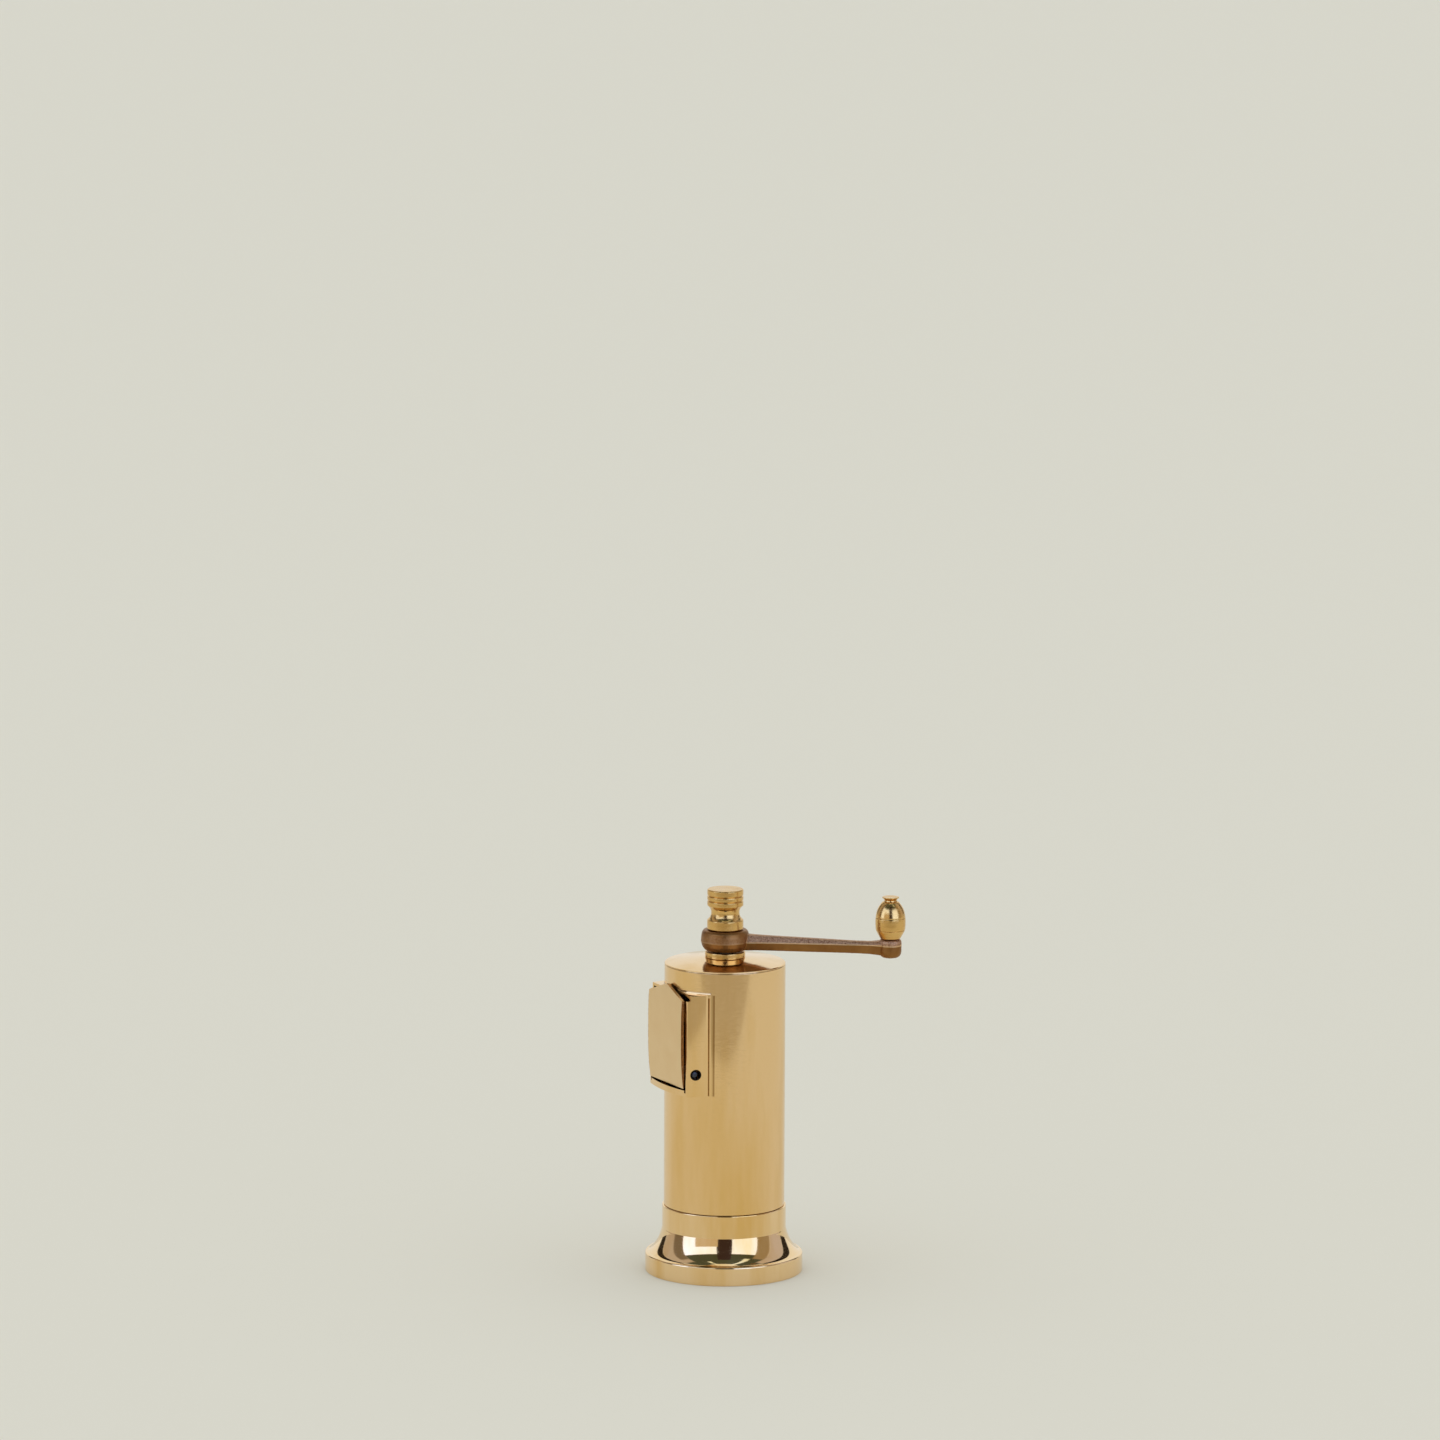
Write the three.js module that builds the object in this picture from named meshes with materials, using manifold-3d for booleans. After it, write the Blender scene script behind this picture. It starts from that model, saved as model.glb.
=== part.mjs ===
// A small brass pepper mill with a crank on top, a bell foot and a tilting filler door in its side.
// Millimetres, +Z up. The origin is on the mill's axis at the level of the table. The door faces -Y.
import * as THREE from 'three';
import { mergeVertices } from 'three/addons/utils/BufferGeometryUtils.js';
import Module from 'manifold-3d';

const wasm = await Module();
wasm.setup();

// Driving dimensions
const gap = 0.3; // between pieces that touch
const fine = 48; // sides of the large turned pieces
const coarse = 24; // sides of the small turned pieces

const footRadius = 28.5;
const footRimHeight = 6.7;
const bandRadius = 22.4;
const bandBottom = 15.9;
const bandTop = 24.3;
const ledgeTop = 16.2;
const ledgeBottom = 14.5;
const ledgeBore = 15.6;
const spigotTop = 31.0;
const spigotRadius = 20.6;
const burrSeatRadius = 17.6;

const tubeRadius = 21.8;
const tubeBore = 21.0;
const tubeTop = 112.6;
const capSeat = 115.0;
const capHole = 4.5;

const collarRadius = 7.25;
const collarTop = 117.3;
const shaftRadius = 3.0;
const squareSide = 4.8;
const threadRadius = 2.3;

const hubBottom = 117.7;
const hubTop = 125.1;
const nutTop = 140.0;
const armLength = 60.0;
const armAngle = 53.5; // degrees from +X to the arm at rest
const bossTop = 123.5;
const knobBottom = 123.8;
const knobTop = 137.4;
const knobPinRadius = 1.6;

const housingHalfFront = 14.6; // the box grows wider from its mouth to the tube
const housingHalfMiddle = 15.4;
const housingHalfBack = 16.15;
const housingFront = 22.6;
const housingMiddle = 19.3;
const housingBack = 15.3;
const lipBulge = 1.8; // how far the bottom wall's front edge swells past the cheeks
const housingBottom = 68.2;
const housingTop = 105.0;
const wall = 1.0;
const pinDepth = 19.6; // from the mill's axis to the door's pin
const pinHeight = 76.2;
const pinRadius = 1.4;
const flapHalfWidth = 13.0;
const flapBottom = 71.1;
const flapShoulder = 103.0;
const flapPeak = 107.4;
const flapThickness = 1.2;
const flapEdge = 23.4; // the flap's face at its lower edge, from the mill's axis
const flapBulge = 1.0;

const burrTeeth = 16;
const innerBurrBottom = 18.3;
const innerBurrTop = 28.5;
const bridgeWidth = 9.0;
const bridgeThickness = 1.6;
const lowerBridgeBottom = 12.6;
const strapFootBottom = 31.3;
const strapTop = 41.6;
const springBottom = 30.4;
const springTop = 39.2;
const springRadius = 4.5;
const springWire = 0.5;
const springTurns = 4.5;
const screwRadius = 0.8;
const screwHole = 1.1;
const upperScrewAt = 19.1;
const lowerScrewAt = 18.0;

// Finishes
const finishes = {
  brass: { color: 0xd0b27a, roughness: 0.22, metalness: 1 },
  satinBrass: { color: 0xcdb487, roughness: 0.38, metalness: 1 },
  bronze: { color: 0x9c7142, roughness: 0.5, metalness: 1 },
  steel: { color: 0x8d8f91, roughness: 0.4, metalness: 1 },
  castIron: { color: 0x4a4a4c, roughness: 0.6, metalness: 1 },
};

const mill = new THREE.Group();
const crank = new THREE.Group(); // everything that turns with the crank's arm
crank.rotation.z = THREE.MathUtils.degToRad(armAngle);
mill.add(crank);

function put(name, geometry, finish, parent = mill) {
  const mesh = new THREE.Mesh(geometry, new THREE.MeshStandardMaterial(finishes[finish]));
  mesh.name = name;
  parent.add(mesh);
  return mesh;
}

// Geometry helpers

function merged(geometry) {
  const bare = geometry.index ? geometry.toNonIndexed() : geometry.clone();
  bare.deleteAttribute('normal');
  bare.deleteAttribute('uv');
  return mergeVertices(bare, 1e-4);
}

function solid(geometry) {
  const bare = merged(geometry);
  const mesh = new wasm.Mesh({
    numProp: 3,
    vertProperties: new Float32Array(bare.attributes.position.array),
    triVerts: new Uint32Array(bare.index.array),
  });
  return new wasm.Manifold(mesh);
}

function geometryOf(manifold) {
  const mesh = manifold.getMesh();
  const geometry = new THREE.BufferGeometry();
  geometry.setAttribute('position', new THREE.BufferAttribute(mesh.vertProperties, 3));
  geometry.setIndex(new THREE.BufferAttribute(mesh.triVerts, 1));
  return geometry;
}

function cut(geometry, ...tools) {
  return geometryOf(tools.reduce((body, tool) => body.subtract(solid(tool)), solid(geometry)));
}

function joined(geometry, ...others) {
  return geometryOf(others.reduce((body, other) => body.add(solid(other)), solid(geometry)));
}

// A turned solid about +Z from [radius, height] points, going up the outside.
function turned(points, sides = coarse) {
  const geometry = new THREE.LatheGeometry(points.map(([r, z]) => new THREE.Vector2(r, z)), sides);
  return geometry.rotateX(Math.PI / 2);
}

// A plain round bar along Z.
function bar(radius, bottom, top, sides = coarse) {
  return turned([[0, bottom], [radius, bottom], [radius, top], [0, top]], sides);
}

// Points of a part of an ellipse, with both angles in degrees.
function arc(centreR, centreZ, radiusR, radiusZ, from, to, steps) {
  const points = [];
  for (let i = 0; i <= steps; i += 1) {
    const angle = THREE.MathUtils.degToRad(from + ((to - from) * i) / steps);
    points.push([centreR + radiusR * Math.cos(angle), centreZ + radiusZ * Math.sin(angle)]);
  }
  return points;
}

function box(x0, x1, y0, y1, z0, z1) {
  const geometry = new THREE.BoxGeometry(x1 - x0, y1 - y0, z1 - z0);
  return geometry.translate((x0 + x1) / 2, (y0 + y1) / 2, (z0 + z1) / 2);
}

// An outline of [y, z] points, made thick from x0 to x1.
function sideCut(points, x0, x1) {
  const shape = new THREE.Shape(points.map(([y, z]) => new THREE.Vector2(y, z)));
  const geometry = new THREE.ExtrudeGeometry(shape, { depth: x1 - x0, bevelEnabled: false });
  geometry.applyMatrix4(new THREE.Matrix4().makeBasis(
    new THREE.Vector3(0, 1, 0),
    new THREE.Vector3(0, 0, 1),
    new THREE.Vector3(1, 0, 0),
  ));
  return geometry.translate(x0, 0, 0);
}

// An outline of [x, z] points, made thick from y0 to y1.
function frontCut(points, y0, y1) {
  const shape = new THREE.Shape(points.map(([x, z]) => new THREE.Vector2(x, z)));
  const geometry = new THREE.ExtrudeGeometry(shape, { depth: y1 - y0, bevelEnabled: false });
  return geometry.rotateX(Math.PI / 2).translate(0, y1, 0);
}

// An outline of [x, y] points, made thick from z0 to z1.
function planCut(points, z0, z1) {
  const shape = new THREE.Shape(points.map(([x, y]) => new THREE.Vector2(x, y)));
  return new THREE.ExtrudeGeometry(shape, { depth: z1 - z0, bevelEnabled: false }).translate(0, 0, z0);
}

// A bar along X.
function crossBar(radius, x0, x1, y, z, sides = coarse) {
  return bar(radius, x0, x1, sides).rotateY(Math.PI / 2).translate(0, y, z);
}

// A closed skin over rings of equal count. With closeRound the last ring joins the first.
function skin(rings, closeRound) {
  const count = rings[0].length;
  const positions = rings.flat(2);
  const index = [];
  const last = closeRound ? rings.length : rings.length - 1;
  for (let i = 0; i < last; i += 1) {
    const next = (i + 1) % rings.length;
    for (let j = 0; j < count; j += 1) {
      const k = (j + 1) % count;
      const [a, b, c, d] = [i * count + j, i * count + k, next * count + j, next * count + k];
      index.push(a, b, d, a, d, c);
    }
  }
  if (!closeRound) {
    for (let j = 1; j < count - 1; j += 1) {
      index.push(0, j + 1, j);
      const top = (rings.length - 1) * count;
      index.push(top, top + j, top + j + 1);
    }
  }
  const geometry = new THREE.BufferGeometry();
  geometry.setAttribute('position', new THREE.Float32BufferAttribute(positions, 3));
  geometry.setIndex(index);
  return geometry;
}

// One ring of a burr: saw teeth between two radii, turned by twist degrees.
function toothRing(root, tip, z, twist) {
  const ring = [];
  const steps = 3;
  for (let i = 0; i < burrTeeth * steps; i += 1) {
    const along = (i % steps) / (steps - 1);
    const angle = (i / (burrTeeth * steps)) * 2 * Math.PI + THREE.MathUtils.degToRad(twist);
    const radius = root + (tip - root) * along;
    ring.push([radius * Math.cos(angle), radius * Math.sin(angle), z]);
  }
  return ring;
}

// Foot: a bell-shaped casting with a ledge for the burr and a spigot for the tube
function makeFoot() {
  const cove = new THREE.CubicBezierCurve(
    new THREE.Vector2(27.4, 7.0),
    new THREE.Vector2(25.5, 8.1),
    new THREE.Vector2(23.22, 11.37),
    new THREE.Vector2(bandRadius + 0.02, bandBottom),
  ).getPoints(7).map((point) => [point.x, point.y]);
  const outside = [
    [footRadius - 0.4, 0],
    [footRadius, 0.4],
    [footRadius, footRimHeight - 0.3],
    [footRadius - 0.3, footRimHeight],
    [footRadius - 0.5, 7.0],
    ...cove,
    [bandRadius, bandTop],
    [spigotRadius, bandTop],
    [spigotRadius, spigotTop],
  ];
  const inside = [
    [burrSeatRadius, spigotTop],
    [burrSeatRadius, ledgeTop],
    [ledgeBore, ledgeTop],
    [ledgeBore, ledgeBottom],
    [20.9, ledgeBottom],
    [21.3, 12.0],
    [22.9, 9.0],
    [25.6, 6.2],
    [26.2, 4.5],
    [26.2, 0],
  ];
  const profile = [...outside, ...inside, outside[0]];
  const holes = [];
  for (const side of [-1, 1]) {
    holes.push(bar(screwHole, 28.0, 33.0, 12).translate(side * upperScrewAt, 0, 0));
    holes.push(bar(screwHole, 13.0, 16.8, 12).translate(side * lowerScrewAt, 0, 0));
  }
  put('foot', cut(turned(profile, fine), ...holes), 'brass');
}

// Body: a thin tube with a window behind the door, closed by a low conical cap
function makeBody() {
  const profile = [
    [tubeBore, bandTop + gap],
    [tubeRadius, bandTop + gap],
    [tubeRadius, tubeTop],
    [tubeBore, tubeTop],
    [tubeBore, bandTop + gap],
  ];
  const inner = housingHalfFront - wall;
  const window = box(-inner, inner, -30, -5, housingBottom + 1, housingTop - wall);
  put('body_tube', cut(turned(profile, fine), window), 'brass');

  const capEdge = tubeTop + gap;
  put('top_cap', turned([
    [capHole, capSeat - 2.2],
    [19.3, 111.4],
    [19.3, 109.5],
    [20.6, 109.5],
    [20.6, capEdge],
    [tubeRadius, capEdge],
    [tubeRadius - 0.2, capEdge + 0.35],
    [14.5, 114.2],
    [7.6, capSeat],
    [capHole, capSeat],
    [capHole, capSeat - 2.2],
  ], fine), 'brass');

  put('neck_bush', turned([
    [shaftRadius + 0.4, 108.5],
    [capHole - gap, 108.5],
    [capHole - gap, capSeat + gap],
    [collarRadius, capSeat + gap],
    [collarRadius, collarTop - 0.3],
    [collarRadius - 0.3, collarTop],
    [shaftRadius + 0.4, collarTop],
    [shaftRadius + 0.4, 108.5],
  ]), 'brass');
}

// Door: a soldered box in the tube's side, a steel pin across it and a flap that tilts on the pin
function makeDoor() {
  const cheek = [
    [housingHalfFront, -housingFront],
    [housingHalfMiddle, -housingMiddle],
    [housingHalfBack, -housingBack],
    [housingHalfBack, -12],
  ];
  const lip = [];
  for (const t of [-0.75, -0.5, -0.25, 0, 0.25, 0.5, 0.75]) {
    lip.push([t * housingHalfFront, -housingFront - lipBulge * (1 - t * t)]);
  }
  const mirrored = (points) => points.map(([x, y]) => [-x, y]).reverse();
  const block = planCut([...lip, ...cheek, ...mirrored(cheek)], housingBottom, housingTop);
  const inside = [
    [housingHalfFront - wall, -40],
    ...cheek.map(([x, y]) => [x - wall, y]),
    [housingHalfBack - wall, 0],
  ];
  const hollow = planCut([...inside, ...mirrored(inside)], housingBottom + 1.3, housingTop - wall);
  const half = housingHalfMiddle;
  const lintel = box(-half, half, -40, -housingFront + 1.0, housingTop - wall - 1, housingTop + 1);
  const tubeSpace = bar(tubeRadius + gap, housingBottom - 5, housingTop + 5, fine);
  const pinHole = crossBar(pinRadius + gap, -half - 1, half + 1, -pinDepth, pinHeight);
  const sinks = [-1, 1].map((side) => {
    const cone = new THREE.CylinderGeometry(2.3, pinRadius + gap, 0.7, coarse);
    return cone.rotateZ((-side * Math.PI) / 2).translate(side * (half - 0.25), -pinDepth, pinHeight);
  });
  put('door_housing', cut(block, hollow, lintel, tubeSpace, pinHole, ...sinks), 'brass');
  put('door_pin', crossBar(pinRadius, -half + 0.5, half - 0.5, -pinDepth, pinHeight), 'steel');

  const middle = 90;
  const reach = middle - flapBottom;
  const front = (z) => -flapEdge - flapBulge * (1 - Math.abs((z - middle) / reach) ** 3);
  const side = [];
  const steps = 10;
  for (let i = 0; i <= steps; i += 1) {
    const z = flapBottom + ((flapPeak - flapBottom) * i) / steps;
    side.push([front(z), z]);
  }
  for (let i = steps; i >= 0; i -= 1) {
    const z = flapBottom + ((flapPeak - flapBottom) * i) / steps;
    side.push([front(z) + flapThickness, z]);
  }
  const w = flapHalfWidth;
  const face = [[-w, 60], [w, 60], [w, flapShoulder], [0, flapPeak], [-w, flapShoulder]];
  const plate = solid(sideCut(side, -w, w)).intersect(solid(frontCut(face, -30, -10)));
  const ear = [
    [front(72) + 0.5, 72],
    ...arc(-pinDepth, pinHeight, 3.2, 3.2, -90, 60, 8),
    [front(88) + 0.5, 88],
    [front(80) + 0.5, 80],
  ];
  const ears = [-w, w - flapThickness].map((x) => solid(sideCut(ear, x, x + flapThickness)));
  const bore = solid(crossBar(pinRadius + gap, -w - 1, w + 1, -pinDepth, pinHeight));
  put('door_flap', geometryOf(plate.add(ears[0]).add(ears[1]).subtract(bore)), 'satinBrass');
}

// Crank: shaft, arm, cap nut, knob pin and knob
function makeCrank() {
  const rod = turned([
    [0, 17.5],
    [1.5, 17.5],
    [1.5, 15.2],
    [2.5, 15.2],
    [2.5, innerBurrBottom],
    [shaftRadius, innerBurrBottom],
    [shaftRadius, 117.5],
    [threadRadius, 117.5],
    [threadRadius, 133.4],
    [0, 133.4],
  ]);
  const half = squareSide / 2;
  const square = box(-half, half, -half, half, 117.0, hubTop - 0.3);
  put('drive_shaft', joined(rod, square), 'steel', crank);

  const hub = turned([
    [0, hubBottom],
    [7.4, hubBottom],
    [8.3, 119.2],
    [8.75, 121.1],
    [8.65, 123.2],
    [8.3, 124.6],
    [7.9, hubTop],
    [0, hubTop],
  ], fine);
  const armSection = (x, belly, crest, bottom, parting, top) => [
    [x, -belly * 0.84, bottom],
    [x, belly * 0.84, bottom],
    [x, belly, parting],
    [x, crest, top],
    [x, -crest, top],
    [x, -belly, parting],
  ];
  const arm = skin([
    armSection(3, 3.7, 2.5, 118.1, 121.0, 123.8),
    armSection(9, 3.0, 1.8, 118.1, 121.0, 123.6),
    armSection(18, 2.25, 1.1, 118.2, 121.1, 123.3),
    armSection(48, 1.85, 1.0, 118.3, 121.4, 122.6),
    armSection(53, 2.1, 1.2, 118.2, 121.6, 122.6),
    armSection(57, 2.9, 1.8, 118.0, 122.2, 123.0),
    armSection(60, 3.3, 2.0, 117.9, 122.6, 123.3),
  ], false);
  const boss = turned([
    [0, 117.0],
    [2.7, 117.0],
    [3.8, 118.2],
    [4.1, 119.6],
    [4.1, 122.6],
    [3.6, bossTop],
    [0, bossTop],
  ]).translate(armLength, 0, 0);
  const hole = half + gap;
  const squareHole = box(-hole, hole, -hole, hole, hubBottom - 1, hubTop + 1);
  const pinHole = bar(knobPinRadius + gap, 110, 130).translate(armLength, 0, 0);
  put('crank_arm', cut(joined(hub, arm, boss), squareHole, pinHole), 'bronze', crank);

  put('cap_nut', turned([
    [0, 133.8],
    [threadRadius + gap, 133.8],
    [threadRadius + gap, hubTop + gap],
    [6.3, hubTop + gap],
    [6.53, 125.7],
    [6.53, 128.3],
    ...arc(8.1, 131.4, 3.0, 3.0, 240, 120, 6),
    [6.5, 134.9],
    [6.5, 135.5],
    [6.2, 135.8],
    [6.5, 136.1],
    [6.5, 137.3],
    [6.2, 137.6],
    [6.5, 137.9],
    [6.5, 139.6],
    [6.1, nutTop],
    [0, nutTop],
  ]), 'brass', crank);

  put('knob_pin', turned([
    [0, 117.2],
    [knobPinRadius, 117.2],
    [knobPinRadius, knobTop + gap],
    [2.6, knobTop + gap],
    [3.1, 139.1],
    [0, 139.1],
  ]).translate(armLength, 0, 0), 'brass', crank);

  const bore = knobPinRadius + gap;
  put('knob', turned([
    [bore, knobBottom],
    [3.5, knobBottom],
    [3.8, 124.2],
    [4.4, 125.2],
    [5.0, 126.3],
    [5.3, 127.2],
    [5.45, 129.0],
    [5.45, 131.0],
    [5.3, 132.4],
    [5.0, 133.8],
    [4.6, 134.9],
    [4.1, 135.8],
    [3.45, 136.7],
    [2.8, knobTop],
    [bore, knobTop],
    [bore, knobBottom],
  ]).translate(armLength, 0, 0), 'brass', crank);
}

// Grinder: a toothed ring in the foot, a toothed cone on the shaft, and the strap, spring and
// thumb screw that set how far apart they are
function makeGrinder() {
  const outerTeeth = [
    [16.5, 13.1],
    [19.0, 13.1],
    [24.0, 14.1],
    [29.0, 15.3],
  ].map(([z, r]) => toothRing(r + 0.5, r, z, (z - 16.5) * 2));
  const mouth = burrSeatRadius - gap - 0.8;
  outerTeeth.push(toothRing(mouth, mouth, 30.7, 28));
  const backTop = toothRing(burrSeatRadius - gap, burrSeatRadius - gap, 30.7, 28);
  const backBottom = toothRing(burrSeatRadius - gap, burrSeatRadius - gap, 16.5, 0);
  put('outer_burr', skin([backBottom, backTop, ...outerTeeth.reverse()], true), 'castIron');

  const bore = shaftRadius + gap;
  const innerTeeth = [
    [innerBurrBottom, 12.3],
    [20.0, 12.2],
    [24.0, 9.8],
    [innerBurrTop, 6.6],
  ].map(([z, r]) => toothRing(r - 0.6, r, z, (innerBurrBottom - z) * 3));
  const boreBottom = toothRing(bore, bore, innerBurrBottom, 0);
  const boreTop = toothRing(bore, bore, innerBurrTop, (innerBurrBottom - innerBurrTop) * 3);
  put('inner_burr', skin([boreBottom, ...innerTeeth, boreTop], true), 'castIron', crank);

  put('burr_nut', cut(bar(4.4, 15.7, innerBurrBottom - gap, 6), bar(2.8, 15, 19)), 'steel', crank);
  const washer = cut(bar(6.0, innerBurrTop + gap, springBottom - springWire - gap), bar(bore, 28, 31));
  put('spring_washer', washer, 'steel', crank);

  // The strap stands on the foot's spigot like a low bridge, and the shaft runs through its crown.
  const outerX = 20.2;
  const kneeX = 17.0;
  const legX = 10.5;
  const t = bridgeThickness;
  const strapOutline = [
    [-outerX, strapFootBottom],
    [-kneeX, strapFootBottom],
    [-legX, strapTop - t],
    [legX, strapTop - t],
    [kneeX, strapFootBottom],
    [outerX, strapFootBottom],
    [outerX, strapFootBottom + t],
    [kneeX + 0.3, strapFootBottom + t],
    [legX + 0.6, strapTop],
    [-legX - 0.6, strapTop],
    [-kneeX - 0.3, strapFootBottom + t],
    [-outerX, strapFootBottom + t],
  ];
  const halfWidth = bridgeWidth / 2;
  const strapHoles = [bar(bore, 38, 44)];
  const lowerHoles = [bar(2.8, 10, 16)];
  for (const side of [-1, 1]) {
    strapHoles.push(bar(screwHole, 30, 34, 12).translate(side * upperScrewAt, 0, 0));
    lowerHoles.push(bar(screwHole, 10, 16, 12).translate(side * lowerScrewAt, 0, 0));
  }
  put('shaft_strap', cut(frontCut(strapOutline, -halfWidth, halfWidth), ...strapHoles), 'brass');

  const lowerTop = lowerBridgeBottom + bridgeThickness;
  const lowerBar = box(-19.9, 19.9, -halfWidth, halfWidth, lowerBridgeBottom, lowerTop);
  put('lower_bridge', cut(lowerBar, ...lowerHoles), 'brass');

  const names = ['left', 'right'];
  [-1, 1].forEach((side, i) => {
    const upper = turned([
      [0, 28.3],
      [screwRadius, 28.3],
      [screwRadius, 33.2],
      [1.4, 33.2],
      [1.4, 34.0],
      [0.9, 34.4],
      [0, 34.4],
    ], 16).translate(side * upperScrewAt, 0, 0);
    const lower = turned([
      [0, 11.1],
      [1.1, 11.1],
      [1.6, 11.5],
      [1.6, 12.3],
      [screwRadius, 12.3],
      [screwRadius, 15.9],
      [0, 15.9],
    ], 16).translate(side * lowerScrewAt, 0, 0);
    put(`strap_screw_${names[i]}`, upper, 'steel');
    put(`bridge_screw_${names[i]}`, lower, 'steel');
  });

  put('burr_spring', makeSpring(), 'steel');

  const ball = new THREE.SphereGeometry(1.2, 16, 10).rotateX(Math.PI / 2).translate(0, 0, 16.0);
  put('thrust_ball', ball, 'steel');

  const flutes = [];
  const fluteCount = 18;
  for (let i = 0; i < fluteCount; i += 1) {
    const angle = (i / fluteCount) * 2 * Math.PI;
    flutes.push(bar(0.6, 6, 12, 8).translate(6.8 * Math.cos(angle), 6.8 * Math.sin(angle), 0));
  }
  const thumb = turned([
    [0, 7.0],
    [6.0, 7.0],
    [6.5, 7.5],
    [6.5, 11.0],
    [6.0, 11.5],
    [2.5, 11.5],
    [2.5, 14.5],
    [0, 14.5],
  ], fine);
  put('thumb_screw', cut(thumb, ...flutes), 'brass');
}

function makeSpring() {
  class Coil extends THREE.Curve {
    getPoint(t, target = new THREE.Vector3()) {
      const angle = t * springTurns * 2 * Math.PI;
      const z = springBottom + (springTop - springBottom) * t;
      return target.set(springRadius * Math.cos(angle), springRadius * Math.sin(angle), z);
    }
  }
  const section = new THREE.Shape();
  section.absarc(0, 0, springWire, 0, 2 * Math.PI);
  return new THREE.ExtrudeGeometry(section, {
    steps: Math.round(springTurns * 12),
    curveSegments: 3,
    extrudePath: new Coil(),
  });
}

makeFoot();
makeBody();
makeDoor();
makeCrank();
makeGrinder();

export default mill;
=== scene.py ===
import math
import random

import bpy
from mathutils import Matrix, Vector


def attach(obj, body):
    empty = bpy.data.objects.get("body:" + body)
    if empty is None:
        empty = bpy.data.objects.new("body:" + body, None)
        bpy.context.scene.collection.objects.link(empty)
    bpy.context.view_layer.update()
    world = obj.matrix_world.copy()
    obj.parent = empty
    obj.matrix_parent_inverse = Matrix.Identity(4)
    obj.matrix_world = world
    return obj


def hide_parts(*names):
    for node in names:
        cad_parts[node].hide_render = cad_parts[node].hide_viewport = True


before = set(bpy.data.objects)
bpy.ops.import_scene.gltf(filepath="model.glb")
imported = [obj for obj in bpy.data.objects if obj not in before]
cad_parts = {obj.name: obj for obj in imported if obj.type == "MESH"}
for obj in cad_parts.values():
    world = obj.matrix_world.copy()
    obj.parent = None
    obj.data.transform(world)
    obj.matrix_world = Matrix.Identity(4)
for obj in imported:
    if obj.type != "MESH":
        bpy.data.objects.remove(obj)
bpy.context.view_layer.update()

mm = 0.001
random.seed(7)


def linearOf(hexColour):
    # sRGB hex to linear RGBA
    parts = [int(hexColour[i:i + 2], 16) / 255 for i in (0, 2, 4)]
    return [p / 12.92 if p < 0.04045 else ((p + 0.055) / 1.055) ** 2.4 for p in parts] + [1.0]


def addNode(tree, kind, settings=None, values=None, links=None):
    # adds a node, sets its own settings and its sockets' values, and links its inputs
    node = tree.nodes.new(kind)
    for key, value in (settings or {}).items():
        setattr(node, key, value)
    for key, value in (values or {}).items():
        node.inputs[key].default_value = value
    for key, source in (links or {}).items():
        tree.links.new(source, node.inputs[key])
    return node


def onlySelect(thing):
    bpy.ops.object.select_all(action="DESELECT")
    thing.select_set(True)
    bpy.context.view_layer.objects.active = thing


def editStart(thing):
    onlySelect(thing)
    bpy.ops.object.mode_set(mode="EDIT")
    bpy.ops.mesh.select_all(action="SELECT")


def editEnd():
    bpy.ops.object.mode_set(mode="OBJECT")


def settle(thing):
    # puts the piece's place, turn and size into its mesh
    onlySelect(thing)
    bpy.ops.object.transform_apply(location=True, rotation=True, scale=True)


def applyModifier(thing, kind, settings):
    onlySelect(thing)
    modifier = thing.modifiers.new(kind.title(), kind)
    for key, value in settings.items():
        setattr(modifier, key, value)
    bpy.ops.object.modifier_apply(modifier=modifier.name)


def cutWith(thing, tool, operation="DIFFERENCE"):
    applyModifier(thing, "BOOLEAN", {"object": tool, "operation": operation, "solver": "EXACT"})
    bpy.data.objects.remove(tool)


def smooth(thing, angle=35):
    onlySelect(thing)
    bpy.ops.object.shade_smooth_by_angle(angle=math.radians(angle))


def dress(thing, body, slotName, material, *nodes):
    # finishes a piece: its finish, the body that it moves with and the nodes that it stands for
    thing.data.materials.clear()
    thing.data.materials.append(material)
    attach(thing, body)
    if nodes:
        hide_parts(*nodes)


def arcPoints(centre, radii, start, end, count):
    # points of part of an ellipse, from one angle to another in degrees
    points = []
    for i in range(count + 1):
        angle = math.radians(start + (end - start) * i / count)
        points.append((centre[0] + radii[0] * math.cos(angle), centre[1] + radii[1] * math.sin(angle)))
    return points


def curvePoints(corners, count):
    # points of a cubic curve through its first and last corner
    a, b, c, d = (Vector(corner) for corner in corners)
    points = []
    for i in range(count + 1):
        t = i / count
        u = 1 - t
        points.append(tuple(a * u ** 3 + b * 3 * t * u ** 2 + c * 3 * t ** 2 * u + d * t ** 3))
    return points


def softCorners(outline, size, steps=3):
    # rounds each corner of an outline, leaving its two ends as they are
    points = [outline[0]]
    for before, corner, after in zip(outline, outline[1:], outline[2:]):
        corner = Vector(corner)
        backward, forward = Vector(before) - corner, Vector(after) - corner
        turn = math.pi - backward.angle(forward, math.pi)
        if turn < 0.3:
            points.append(tuple(corner))
            continue
        start = corner + backward.normalized() * min(size, backward.length * 0.45)
        end = corner + forward.normalized() * min(size, forward.length * 0.45)
        for i in range(steps + 1):
            t = i / steps
            points.append(tuple(start * (1 - t) ** 2 + corner * 2 * t * (1 - t) + end * t ** 2))
    points.append(outline[-1])
    # points close to both ends of a long straight keep its shading straight
    held = [points[0]]
    for start, end in zip(points, points[1:]):
        run = Vector(end) - Vector(start)
        if run.length > 1.2:
            step = run.normalized() * 0.2
            held += [tuple(Vector(start) + step), tuple(Vector(end) - step)]
        held.append(end)
    return held


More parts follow.
